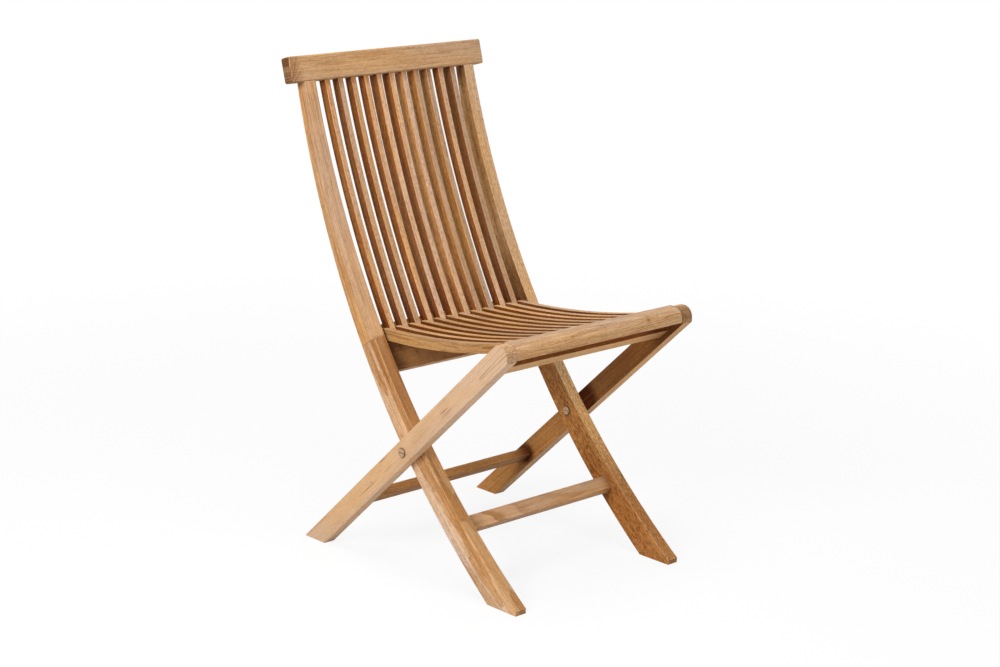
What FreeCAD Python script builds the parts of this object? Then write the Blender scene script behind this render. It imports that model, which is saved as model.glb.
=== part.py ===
import FreeCAD, Part
import math
import os

# Folding teak side chair. Millimetres, +Z up, the sitter faces -Y, the sitter's right is -X.
# The origin is on the floor, under the middle of the chair's overall box.
# Side-view places are written as (y, z), measured from the foot of the fitting line
# that the whole chair is set out from, and the finished chair is moved to its origin last.

V = FreeCAD.Vector

# Widths across the chair
back_width = 410.0            # over the outer faces of the posts and front legs
back_leg_thick = 24.0         # of a post and of a front leg
rear_leg_thick = 23.0         # of a rear leg
pivot_washer_thick = 1.5      # fills the gap between a front leg and a rear leg
top_rail_overhang = 28.5      # of the top rail past each post

# Side outline of the back frame: y of its two edges at three heights
edge_heights = (0.0, 420.0, 845.0)
front_edge_y = (-303.6, 92.5, 287.0)
back_edge_y = (-220.8, 139.3, 310.8)
toe_height = 9.0              # of the blunt upright end of each foot

# Top rail
top_rail_height = 47.0
top_rail_thick = 23.0
top_rail_corner = 4.0         # rounding of its corners seen from the front
top_rail_edge = 3.0           # rounding of its long edges
rail_tenon_depth = 16.0       # how far posts and slats stand up into the top rail
post_tenon_thick = 14.0       # of a post's tenon, across the chair
post_tenon_inset = 5.0        # from the front and rear edges of the post

# Finger joint between a post and its front leg
finger_drop = 10.9            # of the joint's middle below rod_height
finger_count = 5
finger_length = 8.0

# Back slats
slat_count = 11
slat_width_low = 12.4         # at the seat
slat_width_top = 10.8         # under the top rail
slat_depth = 17.5
deep_slat_depth = 21.5        # of the slats listed here, numbered from 1
deep_slats = (5, 6, 7, 8, 9, 11)
slat_setbacks = (7.0, 0.4, 1.8)   # behind the posts' front edge: at the rod, midway, on top
slat_head_inset = 3.0         # of a slat's tenon from its front face
slat_head_depth = 12.5        # of that tenon, front to back

# Comb hinge between the seat and the back
rod_height = 414.9            # of the rod's place, marked on the back slats' front faces
rod_inset = 6.5               # of the rod's axis behind the back slats' front faces
rod_radius = 4.0
rod_running_gap = 0.05        # round the rod, in the back slats
knuckle_radius = 9.0          # of the seat slats' rear ends
slat_foot = 12.5              # of the back slats below the rod

# Rear seat rail, behind the comb
rear_rail_above = 20.6        # above the rod's axis, measured up the rail
rear_rail_below = 68.9        # and below it
rear_rail_thick = 18.0
swing_gap = 0.4               # between the turning seat and what stands still beside it

# Seat
seat_slat_width = 12.5
seat_side_gap = 7.3           # between the outer seat slats and the posts
seat_slat_depths = (19.7, 19.3, 16.3)   # at the tail, midway and at the nose
seat_tail = 12.0              # from the rod's axis to where the tail starts to taper
seat_tail_rise = 10.1         # of the slats' top there, above the rod's axis
seat_dish = 9.1               # of the slats' top below its chord, midway
seat_nose_setback = 41.8      # of the slats' front ends behind the rear legs' upright ends
seat_nose_drop = 9.0          # of the slats' top there, below the rear legs' tops
seat_nose_slope = 11.5        # how far the slats' front ends are cut back underneath
seat_rail_gap = 3.6           # between the slats' front ends and the front rail
seat_seat_gap = 0.3           # between the slats and the support rail that they rest on
batten_setback = 45.0         # behind the slats' front ends
batten_width = 26.0
batten_height = 37.4          # down from the slats' top to its underside
batten_end_inset = 8.0        # of the batten's ends from the outer slats' outer faces

# Leg frame
pivot = (-19.5, 229.6)
leg_lean = 46.4               # degrees from upright
rear_leg_width = 38.5
heel_height = 1.5
nose_y = -277.0               # upright front end of each rear leg
nose_top_z = 475.5             # of the rear legs and the front rail between them
nose_radius = 20.0
nose_back_radius = 3.0
front_rail_height = 26.0
front_rail_radius = 18.0
front_rail_back_radius = 6.0  # lets the slats' front ends rise past its rear edge
front_rail_tenon_inset = (8.0, 6.0)   # from the rail's front and from its underside
front_rail_tenon_size = (23.0, 9.0)   # front to back, and in height
support_rail_setback = 9.7    # behind the lower edges of the rear legs
support_rail_height = 25.5
support_rail_thick = 28.8
support_rail_edge = 4.0       # rounding of its lower front edge
support_rail_place = 271.7    # of its lower edge above the pivot, measured up the leg

# Stretchers
stretcher_thick = 16.0
stretcher_height = 28.0
front_stretcher_z = 114.2
front_stretcher_back = 3.5    # behind the front legs' middle line
rear_stretcher_place = 180.5  # of its middle below the pivot, measured down the leg
tenon_depth = 15.0            # of every rail and stretcher tenon
tenon_shoulder = 4.0          # all round a tenon

# Pivot hardware
bolt_radius = 3.0
bolt_running_gap = 0.05
barrel_radius = 4.5
head_radius = 8.0
head_height = 2.2
slot_width = 1.6
slot_depth = 1.2
washer_radius = 10.0

# Wooden plugs over the screws in the legs' outer faces
plug_radius = 3.5
plug_depth = 6.0
plug_proud = 0.3
front_plug = (-76.0, 171.5)
rear_plug_place = 112.0       # below the pivot, measured down the rear leg

# Wood screws that hold the seat slats to the batten
screw_radius = 1.75
screw_head_radius = 3.5
screw_head_height = 2.2
screw_length = 30.0

wood_edge = 1.2               # easing of the long edges of rails and legs


class Bow:
    """A circular arc in the side view through three (y, z) points."""

    def __init__(self, a, b, c):
        (ay, az), (by, bz), (cy, cz) = a, b, c
        d = 2 * (ay * (bz - cz) + by * (cz - az) + cy * (az - bz))
        sa, sb, sc = ay * ay + az * az, by * by + bz * bz, cy * cy + cz * cz
        self.y = (sa * (bz - cz) + sb * (cz - az) + sc * (az - bz)) / d
        self.z = (sa * (cy - by) + sb * (ay - cy) + sc * (by - ay)) / d
        self.r = math.hypot(ay - self.y, az - self.z)
        self.side_y = 1 if b[0] > self.y else -1
        self.side_z = 1 if b[1] > self.z else -1

    def y_at(self, z):
        return self.y + self.side_y * math.sqrt(self.r ** 2 - (z - self.z) ** 2)

    def z_at(self, y):
        return self.z + self.side_z * math.sqrt(self.r ** 2 - (y - self.y) ** 2)

    def lean_at(self, z):
        """Angle from upright, leaning back, in radians."""
        return math.atan2(self.z - z, self.y_at(z) - self.y)

    def up_from(self, z1, z2):
        """Edge from height z1 to height z2."""
        return arc_edge(*[(self.y_at(z), z) for z in (z1, (z1 + z2) / 2, z2)])

    def along(self, y1, y2):
        """Edge from depth y1 to depth y2."""
        return arc_edge(*[(y, self.z_at(y)) for y in (y1, (y1 + y2) / 2, y2)])


def at(p):
    return V(0, p[0], p[1])


def line_edge(a, b):
    return Part.LineSegment(at(a), at(b)).toShape()


def arc_edge(a, b, c):
    return Part.Arc(at(a), at(b), at(c)).toShape()


def profile(edges, x1, x2):
    """Side-view outline pushed across the chair from x1 to x2."""
    face = Part.Face(Part.Wire(edges))
    face.translate(V(x1, 0, 0))
    return face.extrude(V(x2 - x1, 0, 0))


def polygon(points, x1, x2):
    edges = [line_edge(a, b) for a, b in zip(points, points[1:] + points[:1])]
    return profile(edges, x1, x2)


def step(p, lean, up=0.0, back=0.0):
    """The point reached from p by going up along a lean and back square to it."""
    return (p[0] + up * math.sin(lean) + back * math.cos(lean),
            p[1] + up * math.cos(lean) - back * math.sin(lean))


def bar(p, lean, up1, up2, back1, back2, x1, x2):
    """Rectangular bar across the chair, its section set square to a lean at p."""
    corners = [(up1, back1), (up2, back1), (up2, back2), (up1, back2)]
    return polygon([step(p, lean, u, b) for u, b in corners], x1, x2)


def rod(p, x1, x2, radius):
    return Part.makeCylinder(radius, x2 - x1, V(x1, p[0], p[1]), V(1, 0, 0))


def mirrored(shape):
    return shape.mirror(V(0, 0, 0), V(1, 0, 0))


def ease(shape, radius, pick):
    """Round the edges that pick chooses."""
    return shape.makeFillet(radius, [e for e in shape.Edges if pick(e)])


def through(p):
    """Picks the straight edge across the chair that passes through p in the side view."""
    def pick(edge):
        start = edge.Vertexes[0].Point
        if math.hypot(start.y - p[0], start.z - p[1]) > 0.01:
            return False
        return (isinstance(edge.Curve, Part.Line)
                and abs(edge.tangentAt(edge.FirstParameter).x) > 0.999)
    return pick


def tenoned_bar(p, lean, up1, up2, back1, back2, inner, low_front_edge=wood_edge):
    """Bar between two side members, with a tenon on each end, and its tenons alone."""
    body = bar(p, lean, up1, up2, back1, back2, -inner, inner)
    body = ease(body, low_front_edge, through(step(p, lean, up1, back1)))
    for up, back in ((up1, back2), (up2, back1), (up2, back2)):
        body = ease(body, wood_edge, through(step(p, lean, up, back)))
    s = tenon_shoulder
    tenon = bar(p, lean, up1 + s, up2 - s, back1 + s, back2 - s,
                -inner - tenon_depth, inner + tenon_depth)
    return body.fuse(tenon).removeSplitter(), tenon


# Places worked out from the sizes above
back_out = back_width / 2
back_in = back_out - back_leg_thick
leg_in = back_out + pivot_washer_thick
leg_out = leg_in + rear_leg_thick
front_edge = Bow(*zip(front_edge_y, edge_heights))
back_edge = Bow(*zip(back_edge_y, edge_heights))
rail_foot = (front_edge_y[2], edge_heights[2])
rail_lean = front_edge.lean_at(rail_foot[1])

finger_height = rod_height - finger_drop

slat_pitch = (back_in - seat_side_gap - seat_slat_width / 2) / (slat_count / 2)
slat_heights = (rod_height, (rod_height + rail_foot[1]) / 2, rail_foot[1])
slat_front = Bow(*[(front_edge.y_at(z) + back, z) for z, back in zip(slat_heights, slat_setbacks)])
slat_lean = slat_front.lean_at(rod_height)
hinge = step((slat_front.y_at(rod_height), rod_height), slat_lean, back=rod_inset)
rear_rail_lean = front_edge.lean_at(rod_height)
rear_rail_front = knuckle_radius + swing_gap

seat_tail_top = (hinge[0] - seat_tail, hinge[1] + seat_tail_rise)
seat_nose_top = (nose_y + seat_nose_setback, nose_top_z - seat_nose_drop)
seat_mid_top = ((seat_tail_top[0] + seat_nose_top[0]) / 2,
                (seat_tail_top[1] + seat_nose_top[1]) / 2 - seat_dish)
seat_tops = (seat_tail_top, seat_mid_top, seat_nose_top)
seat_top = Bow(*seat_tops)
seat_nose_y = seat_nose_top[0]
front_rail_back_y = seat_nose_y - seat_rail_gap
leg_back_lean = -math.radians(leg_lean)


def back_slat_x(i):
    return (i - (slat_count - 1) / 2) * slat_pitch


def seat_slat_x(i):
    return (i - slat_count / 2) * slat_pitch


def side_blank(x1, x2):
    """Post and front leg in one, before the finger joint parts them."""
    toe_y = front_edge.y_at(toe_height)
    foot = [line_edge((back_edge.y_at(0), 0), (toe_y, 0)),
            line_edge((toe_y, 0), (toe_y, toe_height))]
    head = step(rail_foot, rail_lean, back=top_rail_thick)
    top_z = head[1] + (head[0] - back_edge.y_at(head[1])) * math.tan(rail_lean)
    top = [line_edge(rail_foot, (back_edge.y_at(top_z), top_z))]
    front = [front_edge.up_from(toe_height, rail_foot[1])]
    rear = [back_edge.up_from(top_z, 0)]
    return profile(foot + front + top + rear, x1, x2)


def finger_cutter(x1, x2):
    """Everything above the zigzag of the finger joint, between x1 and x2."""
    mid_y = (front_edge.y_at(finger_height) + back_edge.y_at(finger_height)) / 2
    lean = front_edge.lean_at(finger_height)
    up = V(0, math.sin(lean), math.cos(lean))
    back = V(0, math.cos(lean), -math.sin(lean))
    reach = rail_foot[1] - finger_height
    start = V(0, mid_y, finger_height) - back * reach
    tooth = (x2 - x1) / finger_count
    points = []
    for i in range(finger_count):
        points.append(V(x1 + i * tooth, 0, 0) + start - up * (finger_length / 2))
        points.append(V(x1 + (i + 0.5) * tooth, 0, 0) + start + up * (finger_length / 2))
    points.append(V(x2, 0, 0) + start - up * (finger_length / 2))
    points += [V(x2, 0, 0) + start + up * 2 * reach, V(x1, 0, 0) + start + up * 2 * reach]
    face = Part.Face(Part.makePolygon(points + points[:1]))
    return face.extrude(back * (2 * reach))


def post_tenon(x1, x2):
    """Tenon on the head of a post, inside the top rail."""
    mid_x = (x1 + x2) / 2
    half = post_tenon_thick / 2
    reach = (back_edge.y_at(rail_foot[1]) - rail_foot[0]) * math.cos(rail_lean)
    return bar(rail_foot, rail_lean, -post_tenon_inset, rail_tenon_depth,
               post_tenon_inset, reach - post_tenon_inset, mid_x - half, mid_x + half)


def top_rail_blank():
    half = back_out + top_rail_overhang
    rail = bar(rail_foot, rail_lean, 0, top_rail_height, 0, top_rail_thick, -half, half)

    rail = ease(rail, top_rail_corner, lambda e: abs(e.Length - top_rail_thick) < 0.01)
    front_normal = V(0, math.cos(rail_lean), -math.sin(rail_lean))
    rim = []
    for face in rail.Faces:
        if abs(abs(face.normalAt(0, 0).dot(front_normal)) - 1) < 1e-6:
            rim += face.Edges
    return rail.makeFillet(top_rail_edge, rim)


def back_slat(i):
    """Curved slat on edge, wider at the seat, tenoned into the top rail."""
    x = back_slat_x(i)
    depth = deep_slat_depth if i + 1 in deep_slats else slat_depth
    top_z = step(rail_foot, rail_lean, up=top_rail_height)[1]
    widest = slat_width_low / 2
    low = [step(hinge, slat_lean, up, back) for up, back in
           ((0, -rod_inset), (-slat_foot, depth / 2 - rod_inset), (0, depth - rod_inset))]
    points = []
    for z in (low[0][1], slat_heights[1], top_z):
        points.append((slat_front.y_at(z), z))
    behind = [step(p, slat_front.lean_at(p[1]), back=depth) for p in points]
    edges = [arc_edge(*points), line_edge(points[2], behind[2]), arc_edge(*behind[::-1]),
             arc_edge(behind[0], low[1], points[0])]
    slat = profile(edges, x - widest, x + widest)
    narrow = slat_width_top / 2
    z1, z2 = low[1][1] - 1, top_z + 1
    y1, y2 = low[0][0] - depth, behind[2][0] + depth
    front = [V(x - widest, y1, z1), V(x + widest, y1, z1), V(x + widest, y1, hinge[1]),
             V(x + narrow, y1, z2), V(x - narrow, y1, z2), V(x - widest, y1, hinge[1])]
    taper = Part.Face(Part.makePolygon(front + front[:1])).extrude(V(0, y2 - y1, 0))
    slat = slat.common(taper)
    above = bar(rail_foot, rail_lean, 0, 2 * top_rail_height, -depth, 2 * depth,
                x - widest, x + widest)
    head_front = slat_setbacks[2] + slat_head_inset
    head = bar(rail_foot, rail_lean, 0, rail_tenon_depth, head_front,
               head_front + slat_head_depth, x - widest, x + widest)
    slat = slat.cut(above).fuse(slat.common(head)).removeSplitter()
    return slat.cut(rod(hinge, x - 2 * widest, x + 2 * widest, rod_radius + rod_running_gap))


def rear_rail():
    return tenoned_bar(hinge, rear_rail_lean, -rear_rail_below, rear_rail_above,
                       rear_rail_front, rear_rail_front + rear_rail_thick, back_in)


def front_stretcher():
    z = front_stretcher_z
    middle = ((front_edge.y_at(z) + back_edge.y_at(z)) / 2, z)
    lean = front_edge.lean_at(z)
    h, t, back = stretcher_height / 2, stretcher_thick / 2, front_stretcher_back
    return tenoned_bar(middle, lean, -h, h, back - t, back + t, back_in)


def rear_stretcher():
    middle = step(pivot, leg_back_lean, up=-rear_stretcher_place)
    h, t = stretcher_height / 2, stretcher_thick / 2
    return tenoned_bar(middle, leg_back_lean, -h, h, -t, t, leg_in)


def rear_leg_blank(x1, x2):
    """Straight leg with a heel cut level and a rounded nose at the seat's front."""
    half = rear_leg_width / 2
    lean = leg_back_lean

    def edge_y(z, back):
        start = step(pivot, lean, back=back)
        return start[0] + (z - start[1]) * math.tan(lean)

    def edge_z(y, back):
        start = step(pivot, lean, back=back)
        return start[1] + (y - start[0]) / math.tan(lean)

    heel_y = edge_y(heel_height, half)
    nose = [(nose_y, edge_z(nose_y, -half)), (nose_y, nose_top_z),
            (edge_y(nose_top_z, half), nose_top_z)]
    outline = [(heel_y, 0), (edge_y(0, -half), 0)] + nose + [(heel_y, heel_height)]
    leg = polygon(outline, x1, x2)
    leg = ease(leg, nose_radius, through(nose[1]))
    return ease(leg, nose_back_radius, through(nose[2]))


def front_rail():
    low = nose_top_z - front_rail_height
    edges = (((nose_y, low), wood_edge), ((nose_y, nose_top_z), front_rail_radius),
             ((front_rail_back_y, nose_top_z), front_rail_back_radius),
             ((front_rail_back_y, low), wood_edge))
    body = polygon([corner for corner, radius in edges], -leg_in, leg_in)
    for corner, radius in edges:
        body = ease(body, radius, through(corner))
    y1, z1 = nose_y + front_rail_tenon_inset[0], low + front_rail_tenon_inset[1]
    y2, z2 = y1 + front_rail_tenon_size[0], z1 + front_rail_tenon_size[1]
    reach = leg_in + tenon_depth
    tenon = polygon([(y1, z1), (y1, z2), (y2, z2), (y2, z1)], -reach, reach)
    return body.fuse(tenon).removeSplitter(), tenon


def seat_side(lower, x1, x2):
    """Space of the seat slats seen from the side, its underside moved down by lower."""
    bottom = [(y, z - deep - lower) for (y, z), deep in zip(seat_tops, seat_slat_depths)]
    underside = Bow(*bottom)
    tail_y = seat_tail_top[0]
    cut_back_y = seat_nose_y + seat_nose_slope
    tail = [seat_tail_top, (hinge[0], hinge[1] + knuckle_radius),
            (hinge[0] + knuckle_radius, hinge[1]), (hinge[0], hinge[1] - knuckle_radius),
            (tail_y, underside.z_at(tail_y))]
    edges = [seat_top.along(seat_nose_y, tail_y), line_edge(tail[0], tail[1]),
             arc_edge(*tail[1:4]), line_edge(tail[3], tail[4]),
             underside.along(tail_y, cut_back_y),
             line_edge((cut_back_y, underside.z_at(cut_back_y)),
                       (seat_nose_y, seat_top.z_at(seat_nose_y)))]
    return profile(edges, x1, x2)


def seat_slat(i):
    x, half = seat_slat_x(i), seat_slat_width / 2
    slat = seat_side(0, x - half, x + half)
    return slat.cut(rod(hinge, x - seat_slat_width, x + seat_slat_width, rod_radius))


seat_half = seat_slat_x(slat_count) + seat_slat_width / 2
batten_front_y = seat_nose_y + batten_setback
batten_back_y = batten_front_y + batten_width
batten_low_z = seat_top.z_at(batten_back_y) - batten_height


def seat_batten():
    """Block under the slats' front part, shaped to their underside."""
    half = seat_half - batten_end_inset
    top_z = seat_top.z_at(batten_back_y) - seat_slat_depths[2] / 2
    low_front, low_back = (batten_front_y, batten_low_z), (batten_back_y, batten_low_z)
    block = polygon([low_front, (batten_front_y, top_z), (batten_back_y, top_z), low_back],
                    -half, half)
    block = ease(ease(block, wood_edge, through(low_front)), wood_edge, through(low_back))
    block = block.cut(seat_side(0, -seat_half, seat_half))
    return block.cut(batten_screws())


def batten_screws():
    """Countersunk screws, one up into each seat slat."""
    screws = []
    for i in range(slat_count + 1):
        base = V(seat_slat_x(i), batten_front_y + batten_width / 2, batten_low_z)
        head = Part.makeCone(screw_head_radius, screw_radius, screw_head_height, base)
        shank = Part.makeCylinder(screw_radius, screw_length, base)
        screws.append(head.fuse(shank).removeSplitter())
    return Part.makeCompound(screws)


def support_rail():
    lower = step(pivot, leg_back_lean, up=support_rail_place)
    front = support_rail_setback - rear_leg_width / 2
    rail, tenon = tenoned_bar(lower, leg_back_lean, 0, support_rail_height,
                              front, front + support_rail_thick, leg_in, support_rail_edge)
    seat = seat_side(seat_seat_gap, -seat_half - swing_gap, seat_half + swing_gap)
    return rail.cut(seat), tenon


def slotted_head(x, out):
    """Low domed screw head on the face at x, facing out, with a driver slot."""
    start = V(x, pivot[0], pivot[1])
    head = Part.makeCylinder(head_radius, head_height, start, V(out, 0, 0))
    head = ease(head, head_height * 0.45, lambda e: e.Length > 6 * head_radius and
                abs(e.Vertexes[0].Point.x - (x + out * head_height)) < 0.01)
    slot = Part.makeBox(slot_depth, 2 * head_radius, slot_width,
                        V(x + out * head_height - (slot_depth if out > 0 else 0),
                          pivot[0] - head_radius, pivot[1] - slot_width / 2))
    return head.cut(slot)


def pivot_bolt():
    """Bolt from outside the rear leg at +X, its shank turning in the barrel."""
    shank = rod(pivot, back_in + slot_depth, leg_out, bolt_radius)
    return shank.fuse(slotted_head(leg_out, 1)).removeSplitter()


def pivot_barrel():
    """Sleeve in the front leg at +X, its head on the inner face."""
    sleeve = rod(pivot, back_in, back_out, barrel_radius).fuse(slotted_head(back_in, -1))
    bore = rod(pivot, back_in, back_out, bolt_radius + bolt_running_gap)
    return sleeve.removeSplitter().cut(bore)


def pivot_washer():
    ring = rod(pivot, back_out, leg_in, washer_radius)
    return ring.cut(rod(pivot, back_out, leg_in, bolt_radius))


def leg_plug(p, x):
    return rod(p, x - plug_depth, x + plug_proud, plug_radius)


def build():
    """Every piece, as node name to shape."""
    parts = {}
    rail = top_rail_blank()
    rear_seat_rail, rear_tenons = rear_rail()
    front_bar, front_tenons = front_stretcher()
    rear_bar, rear_bar_tenons = rear_stretcher()
    seat_rail, seat_rail_tenons = front_rail()
    rest_rail, rest_tenons = support_rail()
    finger = finger_cutter(back_in, back_out)

    side = side_blank(back_in, back_out).cut(Part.makeCompound([rear_tenons, front_tenons]))
    side = side.cut(rod(pivot, back_in, back_out, barrel_radius))
    plug = leg_plug(front_plug, back_out)
    side = side.cut(plug)
    parts["front_leg_plug_left"], parts["front_leg_plug_right"] = plug, mirrored(plug)
    upper = side.common(finger).fuse(post_tenon(back_in, back_out)).removeSplitter()
    lower = side.cut(finger)
    parts["back_post_left"], parts["front_leg_left"] = upper, lower
    parts["back_post_right"], parts["front_leg_right"] = mirrored(upper), mirrored(lower)

    slats = [back_slat(i) for i in range(slat_count)]
    for i, slat in enumerate(slats):
        parts["back_slat_%02d" % (i + 1)] = slat
    rail = rail.cut(Part.makeCompound(slats + [upper, mirrored(upper)]))
    parts["top_rail"] = rail
    parts["rear_seat_rail"] = rear_seat_rail.cut(Part.makeCompound(slats))
    parts["front_stretcher"] = front_bar

    leg = rear_leg_blank(leg_in, leg_out)
    leg = leg.cut(Part.makeCompound([rear_bar_tenons, seat_rail_tenons, rest_tenons]))
    leg = leg.cut(rod(pivot, leg_in, leg_out, bolt_radius))
    plug = leg_plug(step(pivot, leg_back_lean, up=-rear_plug_place), leg_out)
    leg = leg.cut(plug)
    parts["rear_leg_plug_left"], parts["rear_leg_plug_right"] = plug, mirrored(plug)
    parts["rear_leg_left"], parts["rear_leg_right"] = leg, mirrored(leg)
    parts["front_seat_rail"] = seat_rail
    parts["seat_support_rail"] = rest_rail
    parts["rear_stretcher"] = rear_bar

    screws = batten_screws()
    for i in range(slat_count + 1):
        parts["seat_slat_%02d" % (i + 1)] = seat_slat(i).cut(screws)
    parts["seat_batten"] = seat_batten()
    parts["hinge_rod"] = rod(hinge, -seat_half, seat_half, rod_radius)
    parts["batten_screws"] = screws

    for name, shape in (("pivot_bolt", pivot_bolt()), ("pivot_barrel", pivot_barrel()),
                        ("pivot_washer", pivot_washer())):
        parts[name + "_left"] = shape
        parts[name + "_right"] = mirrored(shape)

    box = Part.makeCompound(list(parts.values())).optimalBoundingBox(False)
    home = V(0, -(box.YMin + box.YMax) / 2, 0)
    for shape in parts.values():
        shape.translate(home)
    return parts, home


parts, home = build()
os.makedirs("parts", exist_ok=True)
for name, shape in parts.items():
    shape.exportStep("parts/%s.step" % name)
print("overall", Part.makeCompound(list(parts.values())).optimalBoundingBox(False))
print("pivot", pivot[0] + home.y, pivot[1], "hinge", hinge[0] + home.y, hinge[1])
print("nodes", len(parts), "solids", sum(len(s.Solids) for s in parts.values()),
      "valid", all(s.isValid() for s in parts.values()))
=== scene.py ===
import math
from types import SimpleNamespace

import bpy
from mathutils import Matrix, Vector

# Folding teak side chair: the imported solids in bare, sanded teak with brass pivots.
# Metres, +Z up. The chair faces -Y, and its right side is at -X. Names that end in _mm
# hold millimetres, angles are in radians, and colours are linear red, green and blue.

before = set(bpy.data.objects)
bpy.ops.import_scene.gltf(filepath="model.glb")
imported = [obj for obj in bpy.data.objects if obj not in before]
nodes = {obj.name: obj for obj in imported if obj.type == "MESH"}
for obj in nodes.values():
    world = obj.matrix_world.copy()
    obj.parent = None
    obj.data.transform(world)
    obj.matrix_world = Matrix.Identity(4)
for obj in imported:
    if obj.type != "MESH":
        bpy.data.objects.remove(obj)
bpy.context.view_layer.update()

# The bows that the curved pieces follow, in the side view: centre (y, z) and radius
post_bow_mm = ((-1269.3, 1293.4), 1605.2)
slat_bow_mm = ((-1630.0, 1439.5), 1994.5)
seat_bow_mm = ((115.6, 1917.6), 1496.5)

# How far the straight pieces lean back from upright, in the side view
leg_lean = -math.radians(46.4)          # the rear legs lean forwards
top_rail_lean = math.radians(16.22)
rear_rail_lean = math.radians(33.18)
front_stretcher_lean = math.radians(47.3)
front_plug_lean = 0.6

# Places in the side view: y and z
pivot_mm = (-34.5, 229.6)
plug_mm = (-91.0, 171.5)                # the front legs' plugs

# Rings and spots of painted shade in the side view, with stain as well at the pivot and the
# stretcher: middle, inner radius and outer radius
pivot_ring_mm = (pivot_mm, 8.5, 11.0)
plug_ring_mm = (plug_mm, 3.6, 5.0)
pivot_shade_and_stain_mm = ((-52.0, 248.0), 26.0, 52.0)
stretcher_shade_and_stain_mm = ((96.0, 106.0), 12.0, 30.0)
nose_shade_mm = ((-262.0, 440.0), 20.0, 75.0)

# The posts and front legs: two boards, and a finger joint across both
glue_line_mm = 13.8                     # behind the front edge
mid_depth_mm = 17.0                     # behind the front edge
joint_height_mm = 404.0                 # of the finger joint, at mid depth
joint_slope = 0.45

# Across the chair
slat_pitch_mm = 30.4455
outer_slat_mm = (171.0, 173.0)          # only the outer seat slats' outer faces lie beyond
nose_joint_mm = 206.5                   # where the front rail meets the rear legs
knot_mm = (118.0, 468.0)                # x and z of the front rail's knot
rays_corner_mm = (-238.0, 880.0)      # x, and height up the top rail's lean

# Tints of painted shade, the first with some stain as well, which multiply the wood's own
# colour, and how strongly they show
joint_stain_and_shade = (0.22, 0.095, 0.035)
joint_stain_and_shade_strength = 0.9
ring_shade = (0.50, 0.36, 0.26)
ring_strength = 0.8

# Colours of thin lines
glue = (0.16, 0.075, 0.028)
crack_brown = (0.17, 0.080, 0.030)
flame_rim = (0.22, 0.11, 0.045)

# How round the sanded corners are, and how deep the grain and brass scratches
sanded_radius = 0.0017
grain_relief = 0.0005
scratch_relief = 0.0002

# Camera, from the photograph's perspective
view_azimuth = math.radians(-43.99)
view_elevation = math.radians(14.93)
view_roll = math.radians(1.61)
view_distance = 3.984
view_target = Vector((0.0, -0.036, 0.4095))
view_lens_mm = 79.41

# Lamps: name, place, width and power. All face the middle of the chair.
lamps = (("overhead", (-0.5, -0.2, 3.4), 2.2, 82.0),
         ("left_side", (-3.5, -0.7, 2.3), 1.6, 145.0),
         ("front", (0.2, -4.0, 1.9), 1.8, 50.0),
         ("right_rear", (3.4, 1.0, 2.2), 2.0, 34.0))
lamp_target = Vector((0.0, 0.0, 0.45))
world_fill = 0.07                       # strength of the surroundings' own light

floor_size = 60.0
floor_fade = (0.7, 2.4)                 # from the middle, where the floor turns white
floor_glow = 0.88                       # of white, near the chair


class Socket:
    """A node's output that Python expressions can be written on."""

    def __init__(self, tree, output):
        self.tree = tree
        self.output = output

    def math(self, operation, *others, clamp=False):
        node = self.tree.nodes.new("ShaderNodeMath")
        node.operation = operation
        node.use_clamp = clamp
        for socket, value in zip(node.inputs, (self,) + others):
            plug(self.tree, value, socket)
        return Socket(self.tree, node.outputs[0])

    def __add__(self, other):
        return self.math("ADD", other)

    __radd__ = __add__

    def __sub__(self, other):
        return self.math("SUBTRACT", other)

    def __rsub__(self, other):
        return self.math("MULTIPLY_ADD", -1.0, other)

    def __mul__(self, other):
        return self.math("MULTIPLY", other)

    __rmul__ = __mul__

    def __truediv__(self, other):
        return self.math("DIVIDE", other)

    def __abs__(self):
        return self.math("ABSOLUTE")

    def clamp(self):
        return self.math("ADD", 0.0, clamp=True)


def plug(tree, value, socket):
    """Give a socket a value, or a link from another node."""
    if isinstance(value, Socket):
        tree.links.new(value.output, socket)
    elif isinstance(value, tuple) and len(socket.default_value) == 4:
        socket.default_value = (*value, 1.0)
    else:
        socket.default_value = value


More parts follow.
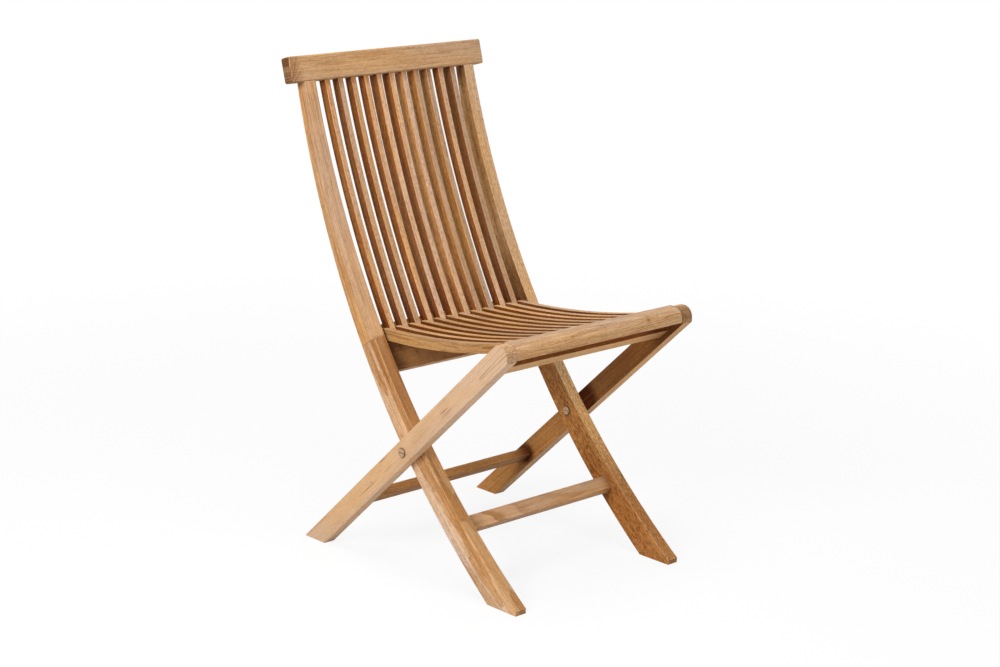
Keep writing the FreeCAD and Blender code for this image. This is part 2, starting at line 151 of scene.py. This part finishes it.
class Finish:
    """The nodes of one material, or of the world."""

    def __init__(self, owner):
        owner.use_nodes = True
        self.owner = owner
        self.tree = owner.node_tree
        self.tree.nodes.clear()

    def node(self, kind, inputs=None, output=0, **settings):
        """Add a node; inputs and output are named by socket name or number."""
        node = self.tree.nodes.new("ShaderNode" + kind)
        for key, value in settings.items():
            setattr(node, key, value)
        for key, value in (inputs or {}).items():
            plug(self.tree, value, node.inputs[key])
        return Socket(self.tree, node.outputs[output]) if node.outputs else node

    def vector(self, x, y, z):
        return self.node("CombineXYZ", {"X": x, "Y": y, "Z": z})

    def split(self, vector):
        """The x, y and z of a vector."""
        first = self.node("SeparateXYZ", {"Vector": vector})
        return [Socket(self.tree, output) for output in first.output.node.outputs]

    def noise(self, vector, scale, detail=2.0, roughness=0.5):
        return self.node("TexNoise", {"Vector": vector, "Scale": scale, "Detail": detail,
                                      "Roughness": roughness})

    def chance(self, number):
        """A value from 0 to 1 that looks random but always belongs to this number."""
        return self.node("TexWhiteNoise", {"W": number}, noise_dimensions="1D")

    def span(self, value, low, high, to_low=0.0, to_high=1.0):
        """Take low..high smoothly to to_low..to_high, held at both ends."""
        return self.node("MapRange", {"Value": value, "From Min": low, "From Max": high,
                                      "To Min": to_low, "To Max": to_high},
                         interpolation_type="SMOOTHSTEP")

    def line(self, value, width):
        """1 where the value is 0, falling to 0 at the width on either side."""
        return self.span(abs(value), 0.0, width, 1.0, 0.0)

    def near(self, first, second, place, inner, outer):
        """1 within the inner distance of a place, 0 beyond the outer one."""
        da, db = first - place[0], second - place[1]
        return self.span((da * da + db * db).math("SQRT"), inner, outer, 1.0, 0.0)

    def mix(self, factor, first, second):
        """Mix two colours; that node numbers its colour sockets 6, 7 and 2."""
        return self.node("Mix", {0: factor, 6: first, 7: second}, output=2,
                         data_type="RGBA")

    def scale(self, colour, factor):
        return self.node("VectorMath", {0: colour, "Scale": factor}, operation="SCALE")

    def tint(self, colour, other, amount=None):
        """Multiply a colour by another one, everywhere or by an amount from 0 to 1."""
        both = self.node("VectorMath", {0: colour, 1: other}, operation="MULTIPLY")
        return both if amount is None else self.mix(amount, colour, both)

    def surface(self, **inputs):
        named = {key.replace("_", " "): value for key, value in inputs.items()}
        self.node("OutputMaterial", {"Surface": self.node("BsdfPrincipled", named)})
        return self.owner


def times(colour, factor):
    """A plain colour, made lighter or darker."""
    return tuple(value * factor for value in colour)


def place_mm(make):
    """The piece's own coordinates, in millimetres."""
    x, y, z = make.split(make.node("TexCoord", output="Object"))
    return x * 1000.0, y * 1000.0, z * 1000.0


def up_lean(y, z, lean):
    """How far (y, z) is up a line that leans back from upright."""
    return y * math.sin(lean) + z * math.cos(lean)


def off_lean(y, z, lean):
    """How far (y, z) is behind that line."""
    return y * math.cos(lean) - z * math.sin(lean)


def along_bow(bow):
    """Grain that follows a bow: (along, across, sideways)."""
    def grain(make):
        (cy, cz), radius = bow
        x, y, z = place_mm(make)
        dy, dz = y - cy, z - cz
        angle = dz.math("ARCTAN2", dy)
        reach = (dy * dy + dz * dz).math("SQRT")
        return angle * radius, reach - radius, x
    return grain


def along_lean(lean):
    """Grain up a straight leg."""
    def grain(make):
        x, y, z = place_mm(make)
        return up_lean(y, z, lean), off_lean(y, z, lean), x
    return grain


def along_width(lean=0.0):
    """Grain across the chair, in a rail whose section leans."""
    def grain(make):
        x, y, z = place_mm(make)
        return x, off_lean(y, z, lean), up_lean(y, z, lean)
    return grain


def inner_face(make, at):
    """1 on the faces of posts and legs that look to the middle of the chair."""
    return make.span(at.facing[0] * at.x, -70.0, -150.0)


def stretched(make, at, stretch, scale, detail=2.0, roughness=0.5):
    """Noise that is drawn out along the grain."""
    vector = make.vector(at.run / stretch, at.across, at.side)
    return make.noise(vector, scale, detail, roughness)


def late_wood(make, at, seed, ring_mm, heart, climb):
    """The dark part of growth rings round a wandering heart, which break into flames.

    heart is how far off the heart lies, across the grain and sideways, and climb how fast
    it moves away along the grain.
    """
    slow = make.vector(at.run / 7.0, at.across, at.side + seed * 11.0)
    wander = make.noise(slow, scale=0.045, detail=2.0) - 0.5
    drift = make.noise(slow, scale=0.014, detail=1.0) - 0.5
    a = at.across + at.along * climb + drift * 55.0 + heart[0]
    b = at.side + wander * 16.0 + heart[1] + at.piece * 20.0
    rings = (a * a + b * b).math("SQRT") / ring_mm
    turn = rings.math("FRACT")
    late = make.span(turn, 0.30, 0.95) * (1.0 - make.span(turn, 0.95, 1.0))
    return late * (make.chance(rings.math("FLOOR") + seed) * 0.9 + 0.35)


def end_grain(make, at, late, pale, dark):
    """Wood cut across: fine layers, with dots where the pores open."""
    dots = make.noise(make.vector(at.along * 0.3, at.across, at.side),
                      scale=0.9, detail=3.0, roughness=0.7)
    layers = make.noise(make.vector(at.along * 0.1, at.across, at.side * 0.12),
                        scale=0.55, detail=2.0, roughness=0.6)
    depth = make.span(dots * 0.25 + layers * 0.75 + late * 0.12, 0.36, 0.74)
    cut = make.mix(depth, times(pale, 0.86), times(dark, 0.50))
    return make.tint(cut, (1.0, 0.93, 0.82))


def drying_checks(make, at):
    """1 in fine cracks that open here and there along the grain."""
    crack = stretched(make, at, 90.0, scale=0.11, detail=1.0)
    open_run = make.noise(make.vector(at.run, at.across * 0.2, at.side * 0.2),
                          scale=0.012, detail=1.0)
    return make.line(crack - 0.5, 0.014) * make.span(open_run, 0.47, 0.56)


def teak(name, grain, seed, tone=1.0, pale=(0.59, 0.365, 0.195), dark=(0.34, 0.165, 0.060),
         ring_mm=3.2, heart=(34.0, 8.0), climb=0.03, figure=0.4, streak=0.8, mottle=0.5,
         flecks=0.4, pore_depth=0.42, checks=0.0, edge_highlight=0.3, varied=0.0, shaded=None,
         shade=(0.70, 0.56, 0.42), end_tone=None, end_lean=None, details=None):
    """Bare teak. grain gives (along, across, sideways) for the pieces it is put on.

    tone is the brightness, and pale and dark are the wood's two colours. ring_mm, heart
    and climb lay out the growth rings. figure, streak, mottle, flecks, pore_depth and
    checks say how much the rings, streaks, broad patches, flecks, pores and small cracks
    show, edge_highlight how much painted highlight makes the sanded corners paler, and
    varied how much pieces of one kind differ. shaded names the faces with painted shade,
    "sides" or "inner", and shade is its tint, which is painted light where it is above 1.
    end_tone is the brightness of end grain, which is on the faces across end_lean, or
    without it on the faces to the sides. details adds what only this piece has, and is
    given at, which holds the places and facings.
    """
    make = Finish(bpy.data.materials.new(name))
    along, across, side = grain(make)
    x, y, z = place_mm(make)
    facing = make.split(make.node("TexCoord", output="Normal"))
    sideways = make.span(abs(facing[0]), 0.5, 0.8)
    piece = number = 0.0
    if varied:
        number = (side / slat_pitch_mm * 2.0).math("ROUND")
        piece = make.chance(number + seed)
    cut_from = piece * 900.0 + seed * 37.0     # no two pieces come from one place
    at = SimpleNamespace(along=along, across=across, side=side, run=along + cut_from,
                         piece=piece, x=x, y=y, z=z, facing=facing, sideways=sideways)

    late = late_wood(make, at, seed, ring_mm, heart, climb)
    streaks = stretched(make, at, 26.0, scale=0.24, detail=3.0, roughness=0.62)
    fibre = stretched(make, at, 30.0, scale=1.1, roughness=0.6)
    pores = make.span(stretched(make, at, 9.0, scale=1.3, roughness=0.55), 0.57, 0.70)
    patch = stretched(make, at, 4.0, scale=0.028, detail=3.0, roughness=0.6)
    fleck = stretched(make, at, 2.6, scale=0.34, detail=3.0, roughness=0.7)
    warmth = stretched(make, at, 5.0, scale=0.016, detail=1.0)

    depth = (late * figure + (streaks - 0.5) * streak * 2.2 + (fibre - 0.5) * 0.5
             + (patch - 0.5) * mottle * 2.0 + 0.28)
    dark_flecks = make.span(fleck, 0.53, 0.66) * flecks * 0.8
    pale_flecks = make.span(fleck, 0.47, 0.34) * flecks * 0.8
    colour = make.mix(depth.clamp(), pale, dark)
    colour = make.mix(dark_flecks, colour, times(dark, 0.62))
    colour = make.mix(pale_flecks, colour, times(pale, 1.22))
    colour = make.mix(pores * pore_depth, colour, times(dark, 0.40))
    warm_tint = make.mix(make.span(warmth, 0.35, 0.65), (1.05, 0.98, 0.84),
                         (0.97, 1.0, 1.12))
    colour = make.tint(colour, warm_tint)

    light = (patch - 0.5) * 0.25 + tone
    if varied:
        light = light + (piece - 0.55) * varied
        brown = make.chance(number + seed + 7.3)
        colour = make.tint(colour, make.mix(brown, (1.02, 1.06, 1.16), (1.06, 0.95, 0.78)))
    colour = make.scale(colour, light)

    # Painted shade on the slats' side faces, deepest near one edge, and on the inner faces
    # of posts and legs; a shade tint above 1 is painted light
    if shaded == "sides":
        side_shade = sideways * (1.0 - make.span(abs(x), *outer_slat_mm))
        colour = make.tint(colour, shade, side_shade)
        near_edge_shade = make.span(across, 4.0, 12.0, 1.0, 0.0)
        colour = make.tint(colour, (0.70, 0.58, 0.44), side_shade * near_edge_shade)
    elif shaded == "inner":
        colour = make.tint(colour, shade, inner_face(make, at))

    if end_tone is not None:
        ends = sideways
        if end_lean is not None:
            ends = make.span(abs(up_lean(facing[1], facing[2], end_lean)), 0.60, 0.85)
        cut = make.scale(end_grain(make, at, late, pale, dark), end_tone)
        colour = make.mix(ends * 0.9, colour, cut)
    if details:
        colour = details(make, colour, at)
    if checks:
        colour = make.mix(drying_checks(make, at) * checks, colour, crack_brown)

    # Sanded corners are rounded, and a painted highlight makes them paler
    round_edge = make.node("Bevel", {"Radius": sanded_radius}, samples=4)
    flat = make.node("NewGeometry", output="Normal")
    match = make.node("VectorMath", {0: round_edge, 1: flat}, output="Value",
                      operation="DOT_PRODUCT")
    edge = make.span(match, 0.985, 0.90)
    colour = make.mix(edge * edge_highlight, colour, times(pale, 1.25))

    height = fibre * 0.35 - pores * 0.5 - late * 0.15 + streaks * 0.25
    normal = make.node("Bump", {"Strength": 0.7, "Distance": grain_relief,
                                "Height": height, "Normal": round_edge})
    return make.surface(Base_Color=colour, Roughness=0.60 + pores * 0.2, Normal=normal,
                        Specular_IOR_Level=0.12)


def brass(name):
    """Dull, smudged brass, with painted shade on the faces that don't look to the sides."""
    make = Finish(bpy.data.materials.new(name))
    x, y, z = place_mm(make)
    smudge = make.noise(make.vector(x, y, z), scale=0.35, detail=3.0)
    scratch = make.noise(make.vector(x, y * 0.2, z * 3.0), scale=3.0, detail=2.0)
    colour = make.mix(make.span(smudge, 0.35, 0.7), (0.56, 0.39, 0.24), (0.34, 0.21, 0.11))
    facing = make.split(make.node("TexCoord", output="Normal"))
    painted_shade = make.span(abs(facing[0]), 0.9, 0.5)
    colour = make.mix(painted_shade, colour, (0.07, 0.04, 0.02))
    normal = make.node("Bump", {"Strength": 0.2, "Distance": scratch_relief,
                                "Height": scratch})
    return make.surface(Base_Color=colour, Metallic=0.85, Roughness=0.34 + smudge * 0.25,
                        Normal=normal)


def steel(name):
    """Drawn steel rod, with fine lines along it."""
    make = Finish(bpy.data.materials.new(name))
    x, y, z = place_mm(make)
    line = make.noise(make.vector(x * 0.1, y, z), scale=2.0, detail=2.0)
    colour = make.mix(line, (0.52, 0.51, 0.49), (0.68, 0.67, 0.65))
    return make.surface(Base_Color=colour, Metallic=1.0, Roughness=0.3 + line * 0.15)


def paint(material, *names):
    """Put a material on CAD nodes; a name may end in * for a family of nodes."""
    for name, piece in nodes.items():
        if any(name == n or (n.endswith("*") and name.startswith(n[:-1])) for n in names):
            piece.data.materials.clear()
            piece.data.materials.append(material)


# Details: functions of (make, colour, at) that change the colour of single pieces


def spots(make, at, *places):
    """1 inside the inner radius of these places in the side view, 0 beyond the outer."""
    return sum(make.near(at.y, at.z, *place) for place in places)


def shade_rings(make, colour, at, *places):
    """Thin rings of painted shade round fittings, on the side faces."""
    painted_shade = spots(make, at, *places) * at.sideways
    return make.tint(colour, ring_shade, painted_shade * ring_strength)


def rear_board(make, at):
    """1 on the board behind the glue line, 0 on the one in front of it."""
    return make.span(at.across, glue_line_mm - 0.2, glue_line_mm + 0.2)


def glue_lines(make, colour, at):
    """The dark lines of the glue between the boards and of the finger joint."""
    seam = make.line(at.across - glue_line_mm, 0.6)
    slant = (at.across - mid_depth_mm) * joint_slope
    joint = make.line(at.z - joint_height_mm - slant, 0.8)
    lines = ((seam + joint) * at.sideways).clamp()
    return make.mix(lines * 0.65, colour, glue)


def broad_flames(make, colour, at, seed, strength):
    """A broad brown figure with a thin dark rim, on paler wood."""
    wave = make.noise(make.vector(at.run / 7.5, at.across, at.side * 0.4 + seed),
                      scale=0.040, detail=2.0, roughness=0.45)
    level = 0.505
    brown = make.span(wave, level + 0.010, level - 0.010) * strength
    colour = make.mix(brown, make.tint(colour, (1.06, 1.10, 1.20)),
                      make.tint(colour, (0.84, 0.72, 0.54)))
    rim = make.line(wave - level, 0.014) * strength
    return make.mix(rim * 0.5, colour, flame_rim)


def laminated(front, rear):
    """A post of two boards glued edge to edge, which differ in tint."""
    def details(make, colour, at):
        colour = make.tint(colour, make.mix(rear_board(make, at), front, rear))
        return glue_lines(make, colour, at)
    return details


def laminated_leg(front, rear, face, low_side, shaded_top=False, flames=None):
    """A front leg of two boards, with rings of painted shade round its pivot and its plug.

    face is the front face's tint at its top and at the foot, painted light and shade by
    height. low_side is the tint of the side faces' lower part, with the two heights between
    which it sets in. flames is the seed and strength of a broad figure.
    """
    def details(make, colour, at):
        behind = rear_board(make, at)
        if shaded_top:
            high = make.span(at.z, 190.0, 300.0)
            colour = make.tint(colour, (0.78, 0.66, 0.50), (1.0 - behind) * high)
        colour = make.tint(colour, make.mix(behind, front, rear))
        face_tint = make.mix(make.span(at.z, 60.0, 260.0), face[1], face[0])
        colour = make.tint(colour, face_tint, 1.0 - at.sideways)
        colour = shade_rings(make, colour, at, pivot_ring_mm, plug_ring_mm)
        side_tint, from_z, to_z = low_side
        colour = make.tint(colour, side_tint, at.sideways * make.span(at.z, from_z, to_z))
        if flames:
            colour = broad_flames(make, colour, at, *flames)
        return glue_lines(make, colour, at)
    return details


def left_post(make, colour, at):
    """The left post: painted light makes its inner face pale, and painted shade darkens it
    at both ends and at the front.
    """
    inner = inner_face(make, at)
    dark_ends = (make.span(at.z, 790.0, 840.0) + make.span(at.z, 560.0, 430.0)).clamp()
    colour = make.tint(colour, (0.42, 0.34, 0.26), dark_ends * inner)
    front_part = make.span(at.across, 22.0, 8.0)
    colour = make.tint(colour, (0.44, 0.36, 0.27), front_part * inner)
    return laminated((1.0, 1.04, 1.06), (1.0, 0.95, 0.86))(make, colour, at)


def shaded_and_stained_ends(from_mm, to_mm, both_ends=True):
    """Painted shade, with some stain, towards the ends, or the left end, where the piece
    goes into another one.
    """
    def details(make, colour, at):
        place = abs(at.x) if both_ends else at.x
        shade_and_stain = make.span(place, from_mm, to_mm) * joint_stain_and_shade_strength
        return make.tint(colour, joint_stain_and_shade, shade_and_stain)
    return details


def dark_rayed_end(make, colour, at):
    """The top rail's right end: dark rays that fan out from the corner over the front."""
    corner_x, corner_height = rays_corner_mm
    angle = (at.side - corner_height).math("ARCTAN2", at.x - corner_x)
    ray = make.noise(make.vector(angle * 9.0, 0.0, 0.0), scale=1.3, roughness=0.7)
    zone = make.span(at.x, -232.0, -198.0, 1.0, 0.0)
    return make.tint(colour, (0.46, 0.32, 0.20), zone * make.span(ray, 0.44, 0.53, 0.15))


def rear_leg_shading_and_stain(make, colour, at):
    """Rear legs: painted shade, with some stain, on the inner faces at the joints, painted
    light on them low down and on the underside, and a ring of painted shade round the pivot.
    """
    inner = inner_face(make, at)
    shade_and_stain = spots(make, at, pivot_shade_and_stain_mm, stretcher_shade_and_stain_mm)
    shade_and_stain = (shade_and_stain + spots(make, at, nose_shade_mm) * 0.6).clamp()
    colour = make.tint(colour, (1.5, 1.5, 1.35), make.span(at.z, 250.0, 205.0) * inner)
    colour = make.tint(colour, joint_stain_and_shade, shade_and_stain * inner)
    colour = shade_rings(make, colour, at, pivot_ring_mm)
    facing_back = off_lean(at.facing[1], at.facing[2], leg_lean)
    return make.tint(colour, (1.20, 1.22, 1.24), make.span(facing_back, -0.75, -0.92))


def under_rail(make, colour, at):
    """Support rail: painted shade on its upper faces, below the front rail, and at its left
    end.
    """
    upper = make.span(at.facing[2], 0.0, 0.4)
    colour = make.tint(colour, (0.30, 0.17, 0.08), upper)
    left_end = make.span(at.x, 120.0, 206.0)
    return make.tint(colour, (0.40, 0.25, 0.15), left_end * 0.7)


def rail_seams(make, colour, at):
    """Front rail: dark joints at the legs' noses and a knot, with painted light low on it
    and painted shade on the faces that look up.
    """
    seam = make.line(abs(at.x) - nose_joint_mm, 1.4)
    left_end = make.span(at.x, nose_joint_mm - 5.0, nose_joint_mm - 3.0)
    knot = make.near(at.x, at.z, knot_mm, 0.8, 3.2)
    swirl = make.near(at.x, at.z, knot_mm, 3.0, 11.0)
    colour = make.tint(colour, (0.86, 0.78, 0.68), swirl)
    colour = make.tint(colour, (1.20, 1.18, 1.15), make.span(at.z, 469.0, 455.0))
    colour = make.tint(colour, (0.86, 0.85, 0.84), make.span(at.facing[2], 0.5, 0.95))
    lines = (seam + left_end * 1.2) * 0.7 + knot * 0.8
    return make.mix(lines.clamp(), colour, glue)


def slat_ends(make, colour, at):
    """Back slats: painted shadow under the top rail and painted shade on the sides by the
    seat; four have painted light on their sides.
    """
    three_slats = make.span(at.x, 10.0, 25.0) * make.span(at.x, 112.0, 104.0)
    right_slat = make.span(at.x, -130.0, -144.0) * 0.35
    pale_sides = (three_slats + right_slat) * at.sideways
    colour = make.tint(colour, (1.9, 2.4, 2.9), pale_sides)
    low_sides = make.span(at.z, 520.0, 420.0) * at.sideways
    colour = make.tint(colour, (0.72, 0.56, 0.40), low_sides)
    return make.tint(colour, (0.62, 0.48, 0.34), make.span(at.z, 822.0, 846.0))


def golden_edge(make, colour, at):
    """Seat slats: the right outer one's outer face is more golden than the others."""
    outer_face = make.span(at.x * -1.0, *outer_slat_mm)
    return make.tint(colour, (0.97, 0.83, 0.58), outer_face)


def under_face(make, colour, at):
    """Rear seat rail: painted shade, with some stain, at its ends, and painted light on its
    underside.
    """
    facing_up = up_lean(at.facing[1], at.facing[2], rear_rail_lean)
    colour = make.tint(colour, (2.2, 2.7, 3.8), make.span(facing_up, -0.75, -0.92))
    return shaded_and_stained_ends(120.0, 181.0)(make, colour, at)


def plug_rim(make, colour, at):
    """A thin dark line round the front legs' plugs."""
    inside = make.near(at.y, at.z, plug_mm, 1.9, 3.3)
    return make.mix((1.0 - inside) * 0.75, colour, glue)


right_leg = dict(seed=41, figure=0.15, streak=0.30, mottle=0.8, flecks=0.12,
                 pore_depth=0.18, pale=(0.58, 0.385, 0.235), dark=(0.38, 0.215, 0.100),
                 end_tone=1.15, checks=0.9)
left_leg = dict(seed=45, figure=0.3, streak=0.9, mottle=0.7, flecks=0.4,
                pale=(0.57, 0.345, 0.170), end_tone=0.60, checks=0.8)
for hand, look in (("right", right_leg), ("left", left_leg)):
    paint(teak("teak_rear_leg_" + hand, along_lean(leg_lean), tone=1.02, end_lean=leg_lean,
               shaded="inner", shade=(0.62, 0.46, 0.28), details=rear_leg_shading_and_stain, **look),
          "rear_leg_" + hand)

paint(teak("teak_top_rail", along_width(top_rail_lean), seed=3, tone=0.87, end_tone=0.66,
           pale=(0.58, 0.37, 0.205), ring_mm=2.6, heart=(40.0, 25.0), climb=0.004,
           figure=0.30, streak=0.9, mottle=0.6, flecks=0.3, checks=0.4,
           details=dark_rayed_end),
      "top_rail")
paint(teak("teak_right_post", along_bow(post_bow_mm), seed=5, tone=0.95, figure=0.35,
           shaded="inner", edge_highlight=0.5, checks=0.5,
           details=laminated((0.99, 1.01, 1.08), (0.98, 0.89, 0.72))),
      "back_post_right")
# The left post's shade tint is above 1: painted light on its inner face
paint(teak("teak_left_post", along_bow(post_bow_mm), seed=6, tone=0.95, figure=0.35,
           mottle=0.8, flecks=1.0, shaded="inner", shade=(1.45, 1.48, 1.45), edge_highlight=0.5,
           details=left_post),
      "back_post_left")
paint(teak("teak_right_front_leg", along_bow(post_bow_mm), seed=11, figure=0.35, streak=0.6,
           flecks=0.5, shaded="inner", shade=(0.86, 0.74, 0.60), edge_highlight=0.9, checks=0.6,
           details=laminated_leg((0.98, 0.90, 0.76), (1.04, 1.05, 1.06),
                                 face=((0.82, 0.80, 0.78), (0.88, 0.90, 0.88)),
                                 low_side=((1.03, 1.12, 1.30), 250.0, 190.0),
                                 shaded_top=True, flames=(11, 0.9))),
      "front_leg_right")
paint(teak("teak_left_front_leg", along_bow(post_bow_mm), seed=13, tone=0.98, figure=0.4,
           flecks=1.5, shaded="inner", shade=(0.88, 0.72, 0.50), edge_highlight=0.9, checks=0.6,
           details=laminated_leg((1.08, 1.03, 0.92), (1.02, 0.95, 0.84),
                                 face=((1.20, 1.30, 1.32), (0.66, 0.52, 0.34)),
                                 low_side=((0.78, 0.68, 0.52), 210.0, 90.0))),
      "front_leg_left")
paint(teak("teak_back_slats", along_bow(slat_bow_mm), seed=17, tone=0.92, varied=0.45,
           pale=(0.55, 0.36, 0.215), dark=(0.32, 0.170, 0.080), figure=0.25, streak=1.1,
           flecks=0.9, shaded="sides", shade=(0.66, 0.42, 0.20), edge_highlight=0.6,
           details=slat_ends),
      "back_slat*")
paint(teak("teak_seat_slats", along_bow(seat_bow_mm), seed=23, tone=0.90, varied=0.38,
           pale=(0.59, 0.37, 0.185), figure=0.45, streak=1.0, checks=0.6, shaded="sides",
           shade=(0.46, 0.28, 0.13), edge_highlight=0.4, details=golden_edge),
      "seat_slat*")
# The rear seat rail's low tone and deep colours are painted shade under the seat
paint(teak("teak_rear_rail", along_width(rear_rail_lean), seed=29, tone=0.54,
           pale=(0.62, 0.30, 0.105), dark=(0.36, 0.14, 0.040), figure=0.5, mottle=1.1,
           details=under_face),
      "rear_seat_rail")
paint(teak("teak_front_stretcher", along_width(front_stretcher_lean), seed=31, tone=1.02,
           ring_mm=4.8, heart=(16.0, -2.0), climb=0.035, figure=1.0, streak=0.5,
           mottle=0.3, flecks=0.2, details=shaded_and_stained_ends(155.0, 200.0, both_ends=False)),
      "front_stretcher")
# The rear stretcher's low tone and deep colours are painted shade under the chair
paint(teak("teak_rear_stretcher", along_width(leg_lean), seed=37, tone=0.68,
           pale=(0.62, 0.325, 0.115), dark=(0.34, 0.135, 0.036), figure=0.7, checks=0.9,
           details=shaded_and_stained_ends(165.0, 204.0, both_ends=False)),
      "rear_stretcher")
paint(teak("teak_front_seat_rail", along_width(), seed=43, tone=0.93, ring_mm=2.4,
           pale=(0.585, 0.395, 0.240), climb=0.01, figure=0.5, checks=0.5,
           details=rail_seams),
      "front_seat_rail")
paint(teak("teak_support_rail", along_width(leg_lean), seed=47, tone=1.08,
           pale=(0.66, 0.40, 0.170), dark=(0.42, 0.190, 0.060), details=under_rail),
      "seat_support_rail")
paint(teak("teak_batten", along_width(), seed=53, tone=0.75), "seat_batten")
paint(teak("teak_front_plugs", along_lean(front_plug_lean), seed=59, tone=1.02,
           details=plug_rim),
      "front_leg_plug*")
paint(teak("teak_rear_plugs", along_lean(leg_lean), seed=61, tone=1.02,
           pale=right_leg["pale"], dark=right_leg["dark"]),
      "rear_leg_plug*")
paint(brass("brass_fittings"), "pivot_*", "batten_screws")
paint(steel("steel_rod"), "hinge_rod")


def seen_straight(make):
    """1 where the camera, a mirror or glass looks, 0 where light is gathered."""
    camera_ray, glossy_ray, glass_ray = (
        make.node("LightPath", output="Is %s Ray" % kind)
        for kind in ("Camera", "Glossy", "Transmission"))
    return (camera_ray + glossy_ray + glass_ray).clamp()


def lay_floor():
    """A pale floor that fades into white away from the chair."""
    floor = Finish(bpy.data.materials.new("pale_floor"))
    seen = seen_straight(floor)
    matt = floor.node("BsdfDiffuse", {"Color": floor.mix(seen, (0.62, 0.61, 0.60),
                                                         (0.72, 0.72, 0.72))})
    x, y = floor.split(floor.node("TexCoord", output="Object"))[:2]
    whiteness = floor.span((x * x + y * y).math("SQRT"), *floor_fade, floor_glow, 1.0)
    glow = floor.node("Emission", {"Strength": 1.0})
    both = floor.node("MixShader", {0: seen * whiteness, 1: matt, 2: glow})
    floor.node("OutputMaterial", {"Surface": both})
    bpy.ops.mesh.primitive_plane_add(size=floor_size, location=(0, 0, 0))
    ground = bpy.context.active_object
    ground.name = "studio_floor"
    ground.data.materials.append(floor.owner)


def light_chair(scene):
    """White surroundings that give little light of their own, and four soft lamps."""
    scene.world = bpy.data.worlds.new("studio")
    sky = Finish(scene.world)
    strength = seen_straight(sky) * (1.0 - world_fill) + world_fill
    glow = sky.node("Background", {"Color": (1.0, 1.0, 1.0), "Strength": strength})
    sky.node("OutputWorld", {"Surface": glow})

    for name, place, width, power in lamps:
        lamp = bpy.data.lights.new(name, "AREA")
        lamp.shape = "DISK"
        lamp.size = width
        lamp.energy = power
        holder = bpy.data.objects.new(name, lamp)
        holder.location = place
        aim = lamp_target - Vector(place)
        holder.rotation_euler = aim.to_track_quat("-Z", "Y").to_euler()
        scene.collection.objects.link(holder)


def set_camera(scene):
    """The photograph's camera."""
    back = Vector((math.sin(view_azimuth) * math.cos(view_elevation),
                   -math.cos(view_azimuth) * math.cos(view_elevation),
                   math.sin(view_elevation)))
    right = Vector((math.cos(view_azimuth), math.sin(view_azimuth), 0.0))
    up = back.cross(right)
    turned_right = right * math.cos(view_roll) + up * math.sin(view_roll)
    turned_up = up * math.cos(view_roll) - right * math.sin(view_roll)
    camera = bpy.data.cameras.new("camera")
    camera.lens = view_lens_mm
    camera.sensor_width = 36.0
    stand = bpy.data.objects.new("camera", camera)
    turn = Matrix((turned_right, turned_up, back)).transposed().to_4x4()
    stand.matrix_world = Matrix.Translation(view_target + back * view_distance) @ turn
    scene.collection.objects.link(stand)
    scene.camera = stand


studio = bpy.context.scene
studio.view_settings.view_transform = "Standard"
lay_floor()
light_chair(studio)
set_camera(studio)
